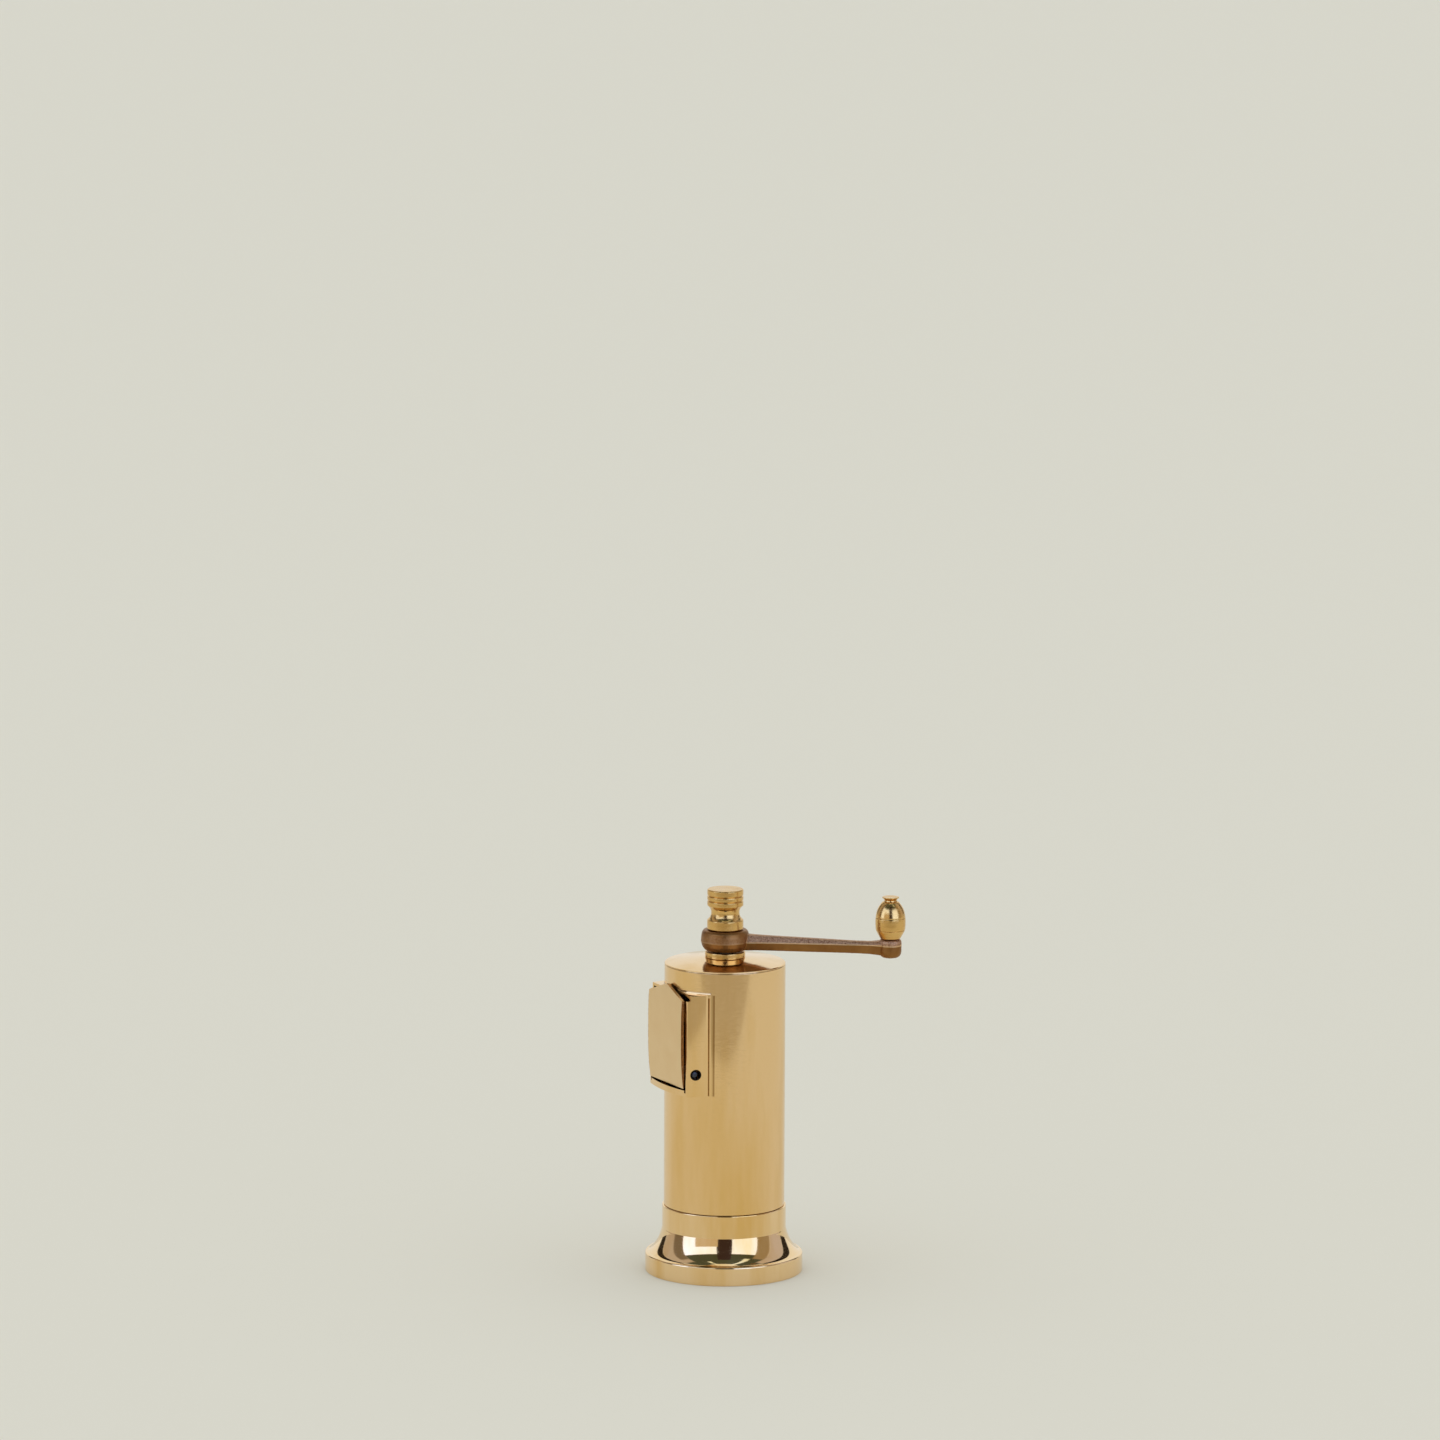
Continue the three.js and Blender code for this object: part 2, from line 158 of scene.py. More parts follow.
def turnPiece(name, outline, size=0.15, steps=128, at=(0, 0)):
    # draws an outline of (radius, height) in mm by extruding one point, then spins it about its axis
    points = softCorners(outline, size)
    bpy.ops.object.select_all(action="DESELECT")
    bpy.ops.mesh.primitive_plane_add(size=mm)
    piece = bpy.context.object
    piece.name = name
    editStart(piece)
    bpy.ops.mesh.merge(type="CENTER")
    bpy.ops.transform.translate(value=(points[0][0] * mm, 0, points[0][1] * mm))
    here = points[0]
    for point in points[1:]:
        step = ((point[0] - here[0]) * mm, 0, (point[1] - here[1]) * mm)
        bpy.ops.mesh.extrude_region_move(TRANSFORM_OT_translate={"value": step})
        here = point
    bpy.ops.mesh.select_all(action="SELECT")
    bpy.ops.mesh.spin(steps=steps, angle=2 * math.pi, center=(0, 0, 0), axis=(0, 0, 1))
    bpy.ops.mesh.select_all(action="SELECT")
    bpy.ops.mesh.remove_doubles(threshold=2e-6)
    bpy.ops.mesh.normals_make_consistent(inside=False)
    bpy.ops.transform.translate(value=(at[0] * mm, at[1] * mm, 0))
    editEnd()
    smooth(piece)
    return piece


def addBlock(name, low, high):
    # a block between two corners in mm
    bpy.ops.object.select_all(action="DESELECT")
    bpy.ops.mesh.primitive_cube_add(size=1, location=[(a + b) / 2 * mm for a, b in zip(low, high)])
    piece = bpy.context.object
    piece.name = name
    piece.scale = [(b - a) * mm for a, b in zip(low, high)]
    settle(piece)
    return piece


def addRod(name, radius, start, end, sides=64, radius2=None):
    # a round bar, or a cone, from one point to another in mm
    start, end = Vector(start) * mm, Vector(end) * mm
    along = end - start
    bpy.ops.object.select_all(action="DESELECT")
    bpy.ops.mesh.primitive_cone_add(
        vertices=sides, radius1=radius * mm, radius2=(radius if radius2 is None else radius2) * mm,
        depth=along.length, location=(start + end) / 2, rotation=along.to_track_quat("Z", "Y").to_euler(),
    )
    piece = bpy.context.object
    piece.name = name
    settle(piece)
    return piece


view = {
    "turn": 62.5,  # degrees round from the door's side to the camera
    "away": 3.005,  # m along the floor
    "height": 0.703,
    "pitch": 9.475,  # degrees down
    "swing": 0.042,
    "roll": 0.248,
    "lens": 212.5,  # mm
}


def makeCamera():
    turn = math.radians(view["turn"])
    bpy.ops.object.camera_add(
        location=(math.sin(turn) * view["away"], -math.cos(turn) * view["away"], view["height"])
    )
    camera = bpy.context.object
    camera.data.lens = view["lens"]
    camera.data.sensor_width = 36
    camera.data.clip_end = 100
    look = Matrix.Rotation(turn + math.radians(view["swing"]), 4, "Z")
    look = look @ Matrix.Rotation(math.radians(90 - view["pitch"]), 4, "X")
    look = look @ Matrix.Rotation(math.radians(view["roll"]), 4, "Z")
    camera.rotation_euler = look.to_euler()
    bpy.context.scene.camera = camera


studio = {
    "floor": "e7e7dc",
    "air": (0.86, 0.85, 0.83),  # even light from all round
    "far": (0.71, 0.705, 0.62),  # what the camera sees past the floor
    "wall": (0.86, 0.88, 0.86),  # what polished brass sees where no panel stands
    # azimuth low and high, elevation low and high (degrees, from the camera's side), soft edge, colour
    "panels": [
        ((-130, 130), (41, 80), 3, (0.085, 0.105, 0.09)),  # dark ceiling on the camera's side
        ((-128, -80), (-20, 62), 5, (0.50, 0.46, 0.44)),  # left wing
        ((-102, -80), (-20, 52), 5, (0.20, 0.17, 0.14)),  # and its shaded part
        ((64, 92), (-20, 52), 4, (0.36, 0.31, 0.24)),  # right wing, shaded
        ((92, 124), (-20, 62), 5, (0.55, 0.52, 0.56)),
        ((-142, -128), (-20, 58), 2, (0.03, 0.025, 0.02)),  # gaps at the wings' outer edges
        ((124, 140), (-20, 58), 2, (0.03, 0.025, 0.02)),
        ((-13.5, 15.5), (-20, 60), 1, (0.05, 0.035, 0.04)),  # gap between the softboxes
        ((-80, -13.5), (-20, 41), 1, (1.25, 1.55, 2.5)),  # left softbox
        ((15.5, 64), (-20, 41), 1, (1.25, 1.55, 2.5)),  # right softbox
        ((-54, -11), (-20, 23), 1, (0.66, 0.61, 0.55)),  # board in front of the left one
        ((-46, -36), (66, 82), 3, (1.0, 1.2, 1.4)),  # two lamps let into the ceiling
        ((46, 60), (54, 82), 4, (1.0, 1.2, 1.4)),
    ],
    "cardEdge": 405,  # mm in front of the mill
    "card": "c3bdaa",
}


def ceilingPaint():
    # lit panels seen only in the brass; each is a patch of sky between two azimuths and two elevations
    material = bpy.data.materials.new("softboxCloth")
    material.use_nodes = True
    tree = material.node_tree
    tree.nodes.clear()
    where = addNode(tree, "ShaderNodeTexCoord")
    unit = addNode(tree, "ShaderNodeVectorMath", {"operation": "NORMALIZE"}, None,
                   {0: where.outputs["Object"]})
    turned = addNode(tree, "ShaderNodeVectorRotate", {"rotation_type": "Z_AXIS"},
                     {"Angle": -math.radians(view["turn"])}, {"Vector": unit.outputs[0]})
    parts = addNode(tree, "ShaderNodeSeparateXYZ", links={"Vector": turned.outputs[0]})
    toCamera = addNode(tree, "ShaderNodeMath", {"operation": "MULTIPLY"}, {1: -1}, {0: parts.outputs["Y"]})
    azimuth = addNode(tree, "ShaderNodeMath", {"operation": "ARCTAN2"},
                      links={0: parts.outputs["X"], 1: toCamera.outputs[0]})
    elevation = addNode(tree, "ShaderNodeMath", {"operation": "ARCSINE"}, links={0: parts.outputs["Z"]})
    colour = addNode(tree, "ShaderNodeRGB")
    colour.outputs[0].default_value = (*studio["wall"], 1)
    shown = colour.outputs[0]
    for across, upward, edge, tint in studio["panels"]:
        mask = None
        for source, (low, high) in ((azimuth, across), (elevation, upward)):
            for limit, sign in ((low, 1), (high, -1)):
                ramp = addNode(tree, "ShaderNodeMapRange", {"interpolation_type": "SMOOTHSTEP"}, {
                    "From Min": math.radians(limit - sign * edge / 2),
                    "From Max": math.radians(limit + sign * edge / 2),
                }, {"Value": source.outputs[0]})
                if mask is None:
                    mask = ramp.outputs["Result"]
                else:
                    mask = addNode(tree, "ShaderNodeMath", {"operation": "MULTIPLY"},
                                   links={0: mask, 1: ramp.outputs["Result"]}).outputs[0]
        mix = addNode(tree, "ShaderNodeMix", {"data_type": "RGBA"}, {7: (*tint, 1)}, {0: mask, 6: shown})
        shown = mix.outputs[2]
    light = addNode(tree, "ShaderNodeEmission", links={"Color": shown})
    addNode(tree, "ShaderNodeOutputMaterial", links={"Surface": light.outputs[0]})
    material.cycles.emission_sampling = "NONE"
    return material


def onlyInBrass(piece):
    piece.visible_camera = piece.visible_diffuse = piece.visible_shadow = False
    piece.visible_transmission = piece.visible_volume_scatter = False


def makeStudio():
    scene = bpy.context.scene
    scene.view_settings.view_transform = "Standard"
    scene.view_settings.look = "None"
    world = bpy.data.worlds.new("studio")
    scene.world = world
    world.use_nodes = True
    tree = world.node_tree
    tree.nodes.clear()
    ray = addNode(tree, "ShaderNodeLightPath")
    shown = addNode(tree, "ShaderNodeMix", {"data_type": "RGBA"},
                    {6: (*studio["air"], 1), 7: (*studio["far"], 1)}, {0: ray.outputs["Is Camera Ray"]})
    light = addNode(tree, "ShaderNodeBackground", links={"Color": shown.outputs[2]})
    addNode(tree, "ShaderNodeOutputWorld", links={"Surface": light.outputs[0]})

    bpy.ops.object.select_all(action="DESELECT")
    bpy.ops.mesh.primitive_plane_add(size=60)
    floor = bpy.context.object
    floor.name = "floor"
    floor.data.materials.append(paintedBoard("paintedBoard", studio["floor"]))

    bpy.ops.object.select_all(action="DESELECT")
    bpy.ops.mesh.primitive_uv_sphere_add(segments=96, ring_count=48, radius=20)
    dome = bpy.context.object
    dome.name = "softboxes"
    dome.data.materials.append(ceilingPaint())
    onlyInBrass(dome)

    # The board ends in front of the mill; only reflections see what lies past its edge.
    turn = math.radians(view["turn"])
    bpy.ops.object.select_all(action="DESELECT")
    bpy.ops.mesh.primitive_plane_add(size=1)
    card = bpy.context.object
    card.name = "pastTheBoard"
    card.scale = (6.0, 6.0, 1)
    away = studio["cardEdge"] * mm + 3.0
    card.location = (math.sin(turn) * away, -math.cos(turn) * away, 0.4 * mm)
    card.rotation_euler = (0, 0, turn)
    settle(card)
    card.data.materials.append(paintedBoard("greyBoard", studio["card"]))
    onlyInBrass(card)


def paintedBoard(name, hexColour):
    # matt emulsion on board: an even pale colour with hardly any sheen
    material = bpy.data.materials.new(name)
    material.use_nodes = True
    shader = material.node_tree.nodes["Principled BSDF"]
    shader.inputs["Base Color"].default_value = linearOf(hexColour)
    shader.inputs["Roughness"].default_value = 0.9
    shader.inputs["Specular IOR Level"].default_value = 0.1
    return material


def startMetal(name):
    material = bpy.data.materials.new(name)
    material.use_nodes = True
    tree = material.node_tree
    shader = tree.nodes["Principled BSDF"]
    shader.inputs["Metallic"].default_value = 1.0
    place = addNode(tree, "ShaderNodeTexCoord").outputs["Object"]
    return material, tree, shader, place


def polishedBrass(name, light="f3cf9b", deep="e8bd76", mirror=0.09, haze=0.22, ringWave=0.0018,
                  solderDirtAndHoleShade=False):
    # 70/30 brass, buffed on a mop: a mirror crossed by hair-fine rings that smear what it reflects up and
    # down, a little waviness that frays the reflections' edges, and soft golden tarnish clouds
    material, tree, shader, place = startMetal(name)
    cloudPlace = addNode(tree, "ShaderNodeMapping", None, {"Scale": (1, 1, 0.14)}, {"Vector": place})
    clouds = addNode(tree, "ShaderNodeTexNoise", None,
                     {"Scale": 1 / (15 * mm), "Detail": 5, "Roughness": 0.55},
                     {"Vector": cloudPlace.outputs[0]})
    spread = addNode(tree, "ShaderNodeMapRange", None, {"From Min": 0.45, "From Max": 0.72},
                     {"Value": clouds.outputs["Fac"]})
    colour = addNode(tree, "ShaderNodeMix", {"data_type": "RGBA"},
                     {6: linearOf(light), 7: linearOf(deep)}, {0: spread.outputs[0]})
    shown = colour.outputs[2]
    if solderDirtAndHoleShade:  # old polish left in the solder beside the tube, and painted shade inside the pin's hole
        flat = addNode(tree, "ShaderNodeVectorMath", {"operation": "MULTIPLY"}, {1: (1, 1, 0)}, {0: place})
        reach = addNode(tree, "ShaderNodeVectorMath", {"operation": "LENGTH"}, None, {0: flat.outputs[0]})
        clean = addNode(tree, "ShaderNodeMapRange", {"interpolation_type": "SMOOTHSTEP"},
                        {"From Min": 21.86 * mm, "From Max": 22.06 * mm}, {"Value": reach.outputs["Value"]})
        shown = addNode(tree, "ShaderNodeMix", {"data_type": "RGBA"}, {6: linearOf("b08a56")},
                        {0: clean.outputs[0], 7: shown}).outputs[2]
        # painted shade: the inside of the pin's hole is coloured near black, as if it lay in shade
        fromPin = addNode(tree, "ShaderNodeVectorMath", {"operation": "ADD"},
                          {1: (0, door["pinDepth"] * mm, -door["pinHeight"] * mm)}, {0: place})
        across = addNode(tree, "ShaderNodeVectorMath", {"operation": "MULTIPLY"}, {1: (0, 1, 1)},
                         {0: fromPin.outputs[0]})
        offPin = addNode(tree, "ShaderNodeVectorMath", {"operation": "LENGTH"}, None,
                         {0: across.outputs[0]})
        outside = addNode(tree, "ShaderNodeMapRange", None,
                          {"From Min": door["holeRadius"] * mm, "From Max": (door["holeRadius"] + 0.1) * mm},
                          {"Value": offPin.outputs["Value"]})
        shown = addNode(tree, "ShaderNodeMix", {"data_type": "RGBA"}, {6: linearOf("2b211a")},
                        {0: outside.outputs[0], 7: shown}).outputs[2]
    tree.links.new(shown, shader.inputs["Base Color"])
    hairPlace = addNode(tree, "ShaderNodeMapping", None, {"Scale": (0.05, 0.05, 1)}, {"Vector": place})
    hairs = addNode(tree, "ShaderNodeTexNoise", None,
                    {"Scale": 1 / (0.12 * mm), "Detail": 1, "Roughness": 0.5},
                    {"Vector": hairPlace.outputs[0]})
    rough = addNode(tree, "ShaderNodeMapRange", {"interpolation_type": "SMOOTHSTEP"},
                    {"From Min": 0.47, "From Max": 0.62, "To Min": mirror, "To Max": haze},
                    {"Value": hairs.outputs["Fac"]})
    tree.links.new(rough.outputs[0], shader.inputs["Roughness"])
    shader.inputs["Anisotropic"].default_value = 0.8
    around = addNode(tree, "ShaderNodeTangent", {"direction_type": "RADIAL", "axis": "Z"})
    tree.links.new(around.outputs[0], shader.inputs["Tangent"])
    if ringWave:
        wavePlace = addNode(tree, "ShaderNodeMapping", None, {"Scale": (0.07, 0.07, 1)}, {"Vector": place})
        waves = addNode(tree, "ShaderNodeTexNoise", None, {"Scale": 1 / (2.0 * mm), "Detail": 1},
                        {"Vector": wavePlace.outputs[0]})
        bump = addNode(tree, "ShaderNodeBump", None, {"Strength": 1.0, "Distance": ringWave * mm},
                       {"Height": waves.outputs["Fac"]})
        tree.links.new(bump.outputs[0], shader.inputs["Normal"])
    return material


def satinBrass(name, light, dark, roughness, shadedCutEdge=0):
    # brass sheet rubbed with fine abrasive: an even, milky sheen without sharp reflections
    material, tree, shader, place = startMetal(name)
    clouds = addNode(tree, "ShaderNodeTexNoise", None, {"Scale": 1 / (8 * mm), "Detail": 3},
                     {"Vector": place})
    colour = addNode(tree, "ShaderNodeMix", {"data_type": "RGBA"},
                     {6: linearOf(light), 7: linearOf(dark)}, {0: clouds.outputs["Fac"]})
    tree.links.new(colour.outputs[2], shader.inputs["Base Color"])
    rough = addNode(tree, "ShaderNodeMapRange", None,
                    {"To Min": roughness - 0.04, "To Max": roughness + 0.04},
                    {"Value": clouds.outputs["Fac"]})
    tree.links.new(rough.outputs[0], shader.inputs["Roughness"])
    if shadedCutEdge:  # the sawn side edges are rough and brown, and darkened further as painted shade of the gap beside the flap
        parts = addNode(tree, "ShaderNodeSeparateXYZ", links={"Vector": place})
        side = addNode(tree, "ShaderNodeMath", {"operation": "ABSOLUTE"}, links={0: parts.outputs["X"]})
        onEdge = addNode(tree, "ShaderNodeMapRange", None,
                         {"From Min": (shadedCutEdge - 0.18) * mm, "From Max": (shadedCutEdge - 0.1) * mm},
                         {"Value": side.outputs[0]})
        grit = addNode(tree, "ShaderNodeTexNoise", None, {"Scale": 1 / (0.6 * mm), "Detail": 3},
                       {"Vector": place})
        # partly the sawn edge's own brown, and partly painted shade: the darkest tone stands for the shaded
        # gap beside the flap
        sawnAndShaded = addNode(tree, "ShaderNodeMix", {"data_type": "RGBA"},
                       {6: linearOf("4a2c14"), 7: linearOf("b67c44")}, {0: grit.outputs["Fac"]})
        shown = addNode(tree, "ShaderNodeMix", {"data_type": "RGBA"},
                        links={0: onEdge.outputs[0], 6: colour.outputs[2], 7: sawnAndShaded.outputs[2]})
        tree.links.new(shown.outputs[2], shader.inputs["Base Color"])
    return material


def turnedBrass(name, centre=(0, 0)):
    # free-cutting brass straight off the lathe: bright, with fine rings from the tool
    material, tree, shader, place = startMetal(name)
    moved = addNode(tree, "ShaderNodeMapping", None, {"Location": (-centre[0] * mm, -centre[1] * mm, 0)},
                    {"Vector": place})
    linePlace = addNode(tree, "ShaderNodeMapping", None, {"Scale": (0.05, 0.05, 1)},
                        {"Vector": moved.outputs[0]})
    lines = addNode(tree, "ShaderNodeTexNoise", None,
                    {"Scale": 1 / (0.35 * mm), "Detail": 2, "Roughness": 0.6},
                    {"Vector": linePlace.outputs[0]})
    clouds = addNode(tree, "ShaderNodeTexNoise", None, {"Scale": 1 / (5 * mm), "Detail": 3},
                     {"Vector": moved.outputs[0]})
    colour = addNode(tree, "ShaderNodeMix", {"data_type": "RGBA"},
                     {6: linearOf("ecc67f"), 7: linearOf("d3a25a")}, {0: clouds.outputs["Fac"]})
    tree.links.new(colour.outputs[2], shader.inputs["Base Color"])
    rough = addNode(tree, "ShaderNodeMapRange", None,
                    {"From Min": 0.3, "From Max": 0.7, "To Min": 0.14, "To Max": 0.3},
                    {"Value": lines.outputs["Fac"]})
    tree.links.new(rough.outputs[0], shader.inputs["Roughness"])
    bump = addNode(tree, "ShaderNodeBump", None, {"Strength": 0.35, "Distance": 0.03 * mm},
                   {"Height": lines.outputs["Fac"]})
    tree.links.new(bump.outputs[0], shader.inputs["Normal"])
    return material


def castBronze(name):
    # sand-cast bronze: brown and softly shining where it was rubbed, paler, speckled and matt on the arm's
    # upper side, with a painted highlight along the parting line
    material, tree, shader, place = startMetal(name)
    grain = addNode(tree, "ShaderNodeTexNoise", None,
                    {"Scale": 1 / (0.45 * mm), "Detail": 4, "Roughness": 0.7},
                    {"Vector": place})
    patches = addNode(tree, "ShaderNodeTexNoise", None, {"Scale": 1 / (5 * mm), "Detail": 3},
                      {"Vector": place})
    parts = addNode(tree, "ShaderNodeSeparateXYZ", links={"Vector": place})
    flat = addNode(tree, "ShaderNodeVectorMath", {"operation": "MULTIPLY"}, {1: (1, 1, 0)}, {0: place})
    reach = addNode(tree, "ShaderNodeVectorMath", {"operation": "LENGTH"}, None, {0: flat.outputs[0]})
    seam = addNode(tree, "ShaderNodeMapRange", None,
                   {"From Min": 10 * mm, "From Max": 55 * mm, "To Min": 121.0 * mm, "To Max": 121.5 * mm},
                   {"Value": reach.outputs["Value"]})
    above = addNode(tree, "ShaderNodeMath", {"operation": "SUBTRACT"},
                    links={0: parts.outputs["Z"], 1: seam.outputs[0]})
    upper = addNode(tree, "ShaderNodeMapRange", None, {"From Min": -0.1 * mm, "From Max": 0.25 * mm},
                    {"Value": above.outputs[0]})
    onArm = addNode(tree, "ShaderNodeMapRange", None, {"From Min": 8.4 * mm, "From Max": 9.6 * mm},
                    {"Value": reach.outputs["Value"]})
    rawSide = addNode(tree, "ShaderNodeMath", {"operation": "MULTIPLY"},
                      links={0: upper.outputs[0], 1: onArm.outputs[0]})
    rubbed = addNode(tree, "ShaderNodeMix", {"data_type": "RGBA"},
                     {6: linearOf("80532a"), 7: linearOf("a67843")}, {0: patches.outputs["Fac"]})
    speckle = addNode(tree, "ShaderNodeMapRange", None, {"From Min": 0.36, "From Max": 0.64},
                      {"Value": grain.outputs["Fac"]})
    raw = addNode(tree, "ShaderNodeMix", {"data_type": "RGBA"},
                  {6: linearOf("8e6040"), 7: linearOf("dcb48c")}, {0: speckle.outputs[0]})
    colour = addNode(tree, "ShaderNodeMix", {"data_type": "RGBA"},
                     links={0: rawSide.outputs[0], 6: rubbed.outputs[2], 7: raw.outputs[2]})
    # painted highlight: a pale line along the parting line, where its ridge catches the light
    offSeam = addNode(tree, "ShaderNodeMath", {"operation": "ABSOLUTE"}, links={0: above.outputs[0]})
    onSeam = addNode(tree, "ShaderNodeMapRange", None,
                     {"From Min": 0.1 * mm, "From Max": 0.3 * mm, "To Min": 0.75, "To Max": 0.0},
                     {"Value": offSeam.outputs[0]})
    seamHighlight = addNode(tree, "ShaderNodeMath", {"operation": "MULTIPLY"},
                     links={0: onSeam.outputs[0], 1: onArm.outputs[0]})
    shown = addNode(tree, "ShaderNodeMix", {"data_type": "RGBA"}, {7: linearOf("ecc690")},
                    {0: seamHighlight.outputs[0], 6: colour.outputs[2]})
    tree.links.new(shown.outputs[2], shader.inputs["Base Color"])
    rough = addNode(tree, "ShaderNodeMapRange", None, {"To Min": 0.4, "To Max": 0.55},
                    {"Value": rawSide.outputs[0]})
    tree.links.new(rough.outputs[0], shader.inputs["Roughness"])
    deep = addNode(tree, "ShaderNodeMapRange", None, {"To Min": 0.18, "To Max": 0.6},
                   {"Value": rawSide.outputs[0]})
    bump = addNode(tree, "ShaderNodeBump", None, {"Distance": 0.1 * mm},
                   {"Height": grain.outputs["Fac"], "Strength": deep.outputs[0]})
    tree.links.new(bump.outputs[0], shader.inputs["Normal"])
    return material


def plainMetal(name, light, dark, roughness, grainSize):
    # a plain worked metal: steel wire, screws and burr iron, with a fine even grain
    material, tree, shader, place = startMetal(name)
    grain = addNode(tree, "ShaderNodeTexNoise", None, {"Scale": 1 / (grainSize * mm), "Detail": 4},
                    {"Vector": place})
    colour = addNode(tree, "ShaderNodeMix", {"data_type": "RGBA"},
                     {6: linearOf(light), 7: linearOf(dark)}, {0: grain.outputs["Fac"]})
    tree.links.new(colour.outputs[2], shader.inputs["Base Color"])
    rough = addNode(tree, "ShaderNodeMapRange", None,
                    {"To Min": roughness - 0.1, "To Max": roughness + 0.1},
                    {"Value": grain.outputs["Fac"]})
    tree.links.new(rough.outputs[0], shader.inputs["Roughness"])
    bump = addNode(tree, "ShaderNodeBump", None, {"Strength": 0.2, "Distance": 0.03 * mm},
                   {"Height": grain.outputs["Fac"]})
    tree.links.new(bump.outputs[0], shader.inputs["Normal"])
    return material


foot = {
    "rim": 28.5, "rimTop": 6.6, "band": 22.4, "bandBottom": 15.9, "bandTop": 24.3,
    "cove": [(22.42, 15.9), (23.22, 11.37), (25.5, 8.1), (27.4, 7.0)],  # a cubic curve's corners
    "inside": [
        (20.6, 31.0), (17.6, 31.0), (17.6, 16.2), (15.6, 16.2), (15.6, 14.5), (20.9, 14.5),
        (21.3, 12.0), (22.9, 9.0), (25.6, 6.2), (26.4, 4.5), (26.4, 0.0),
    ],
    "light": "f6d6a6", "mirror": 0.04, "haze": 0.09, "ringWave": 0.0008,
}


def makeFoot():
    cove = curvePoints(foot["cove"], 28)[::-1]
    outline = [
        foot["inside"][-1], (foot["rim"], 0.0), (foot["rim"], foot["rimTop"]), (28.0, 6.95),
        *cove,
        (foot["band"], foot["bandBottom"] + 0.05), (foot["band"], foot["bandTop"]),
        (foot["inside"][0][0], foot["bandTop"]), *foot["inside"],
    ]
    piece = turnPiece("turnedFoot", outline, size=0.3, steps=160)
    finish = polishedBrass("buffedBrassFoot", light=foot["light"], mirror=foot["mirror"], haze=foot["haze"],
                           ringWave=foot["ringWave"])
    dress(piece, "mill_body", "polished_brass", finish, "foot")


tube = {"radius": 21.8, "bore": 21.0, "bottom": 24.42, "top": 112.78}


def makeTube():
    outline = [
        (tube["bore"], tube["bottom"]), (tube["radius"], tube["bottom"]), (tube["radius"], tube["top"]),
        (tube["bore"], tube["top"]), (tube["bore"], tube["bottom"]),
    ]
    piece = turnPiece("brassTube", outline, size=0.12, steps=160)
    inner = door["half"] - door["wall"]
    window = addBlock("windowCut", (-inner, -30, door["bottom"] + 1), (inner, -5, door["top"] - door["wall"]))
    cutWith(piece, window)
    smooth(piece)
    dress(piece, "mill_body", "polished_brass", polishedBrass("buffedBrassTube"), "body_tube")


cap = {
    "outline": [
        (4.5, 112.8), (19.3, 111.4), (19.3, 109.5), (20.6, 109.5), (20.6, 112.86), (21.8, 112.86),
        (21.8, 113.15), (21.45, 113.35), (14.5, 114.3), (7.6, 115.05), (4.5, 115.05), (4.5, 112.8),
    ],
    "mirror": 0.08, "haze": 0.1,
}


def makeCap():
    piece = turnPiece("conicalCap", cap["outline"], size=0.12, steps=160)
    finish = polishedBrass("buffedBrassCap", mirror=cap["mirror"], haze=cap["haze"], ringWave=0)
    dress(piece, "mill_body", "polished_brass", finish, "top_cap")


neck = {"bore": 3.4, "stem": 4.2, "collar": 7.25, "bottom": 108.5, "step": 115.1, "top": 117.25}


def makeNeck():
    outline = [
        (neck["bore"], neck["bottom"]), (neck["stem"], neck["bottom"]), (neck["stem"], neck["step"]),
        (neck["collar"], neck["step"]), (neck["collar"], neck["top"]), (neck["bore"], neck["top"]),
        (neck["bore"], neck["bottom"]),
    ]
    piece = turnPiece("neckBush", outline, size=0.3, steps=96)
    dress(piece, "mill_body", "turned_brass", turnedBrass("turnedBrassNeck"), "neck_bush")


door = {
    "half": 14.6, "back": 16.15, "front": 22.6, "creaseAt": 15.3, "bottom": 68.2, "top": 105.0, "wall": 1.0,
    "lip": 1.8, "pinDepth": 19.6, "pinHeight": 76.2, "pinRadius": 1.4, "holeRadius": 1.95,
    "flapHalf": 13.0, "flapBottom": 71.1, "shoulder": 103.0, "peak": 107.4, "thick": 1.15,
    "edge": 23.4, "bulge": 1.0,
    "shelf": 1.3, "ridge": 23.0, "ridgeTop": 2.2,  # the bottom wall is lower behind the ridge along its lip
    "solder": [
        (15.98, -14.87), (16.2, -14.72), (16.45, -14.62), (16.7, -14.42), (16.95, -14.05), (17.2, -13.6),
        (17.4, -13.15),
    ],
}


def addPlan(name, points, bottom, top):
    # an outline seen from above, in mm, drawn out upwards
    bpy.ops.object.select_all(action="DESELECT")
    bpy.ops.mesh.primitive_circle_add(vertices=len(points), fill_type="NGON", radius=mm)
    piece = bpy.context.object
    piece.name = name
    for vertex, (x, y) in zip(piece.data.vertices, points):
        vertex.co = Vector((x, y, bottom)) * mm
    editStart(piece)
    bpy.ops.mesh.extrude_region_move(TRANSFORM_OT_translate={"value": (0, 0, (top - bottom) * mm)})
    bpy.ops.mesh.select_all(action="SELECT")
    bpy.ops.mesh.normals_make_consistent(inside=False)
    editEnd()
    return piece


def cheekAt(back):
    # half width of the box at a distance behind its mouth: it swells a little on its way to the tube
    return door["half"] + 0.277 * back - 0.0089 * back ** 2


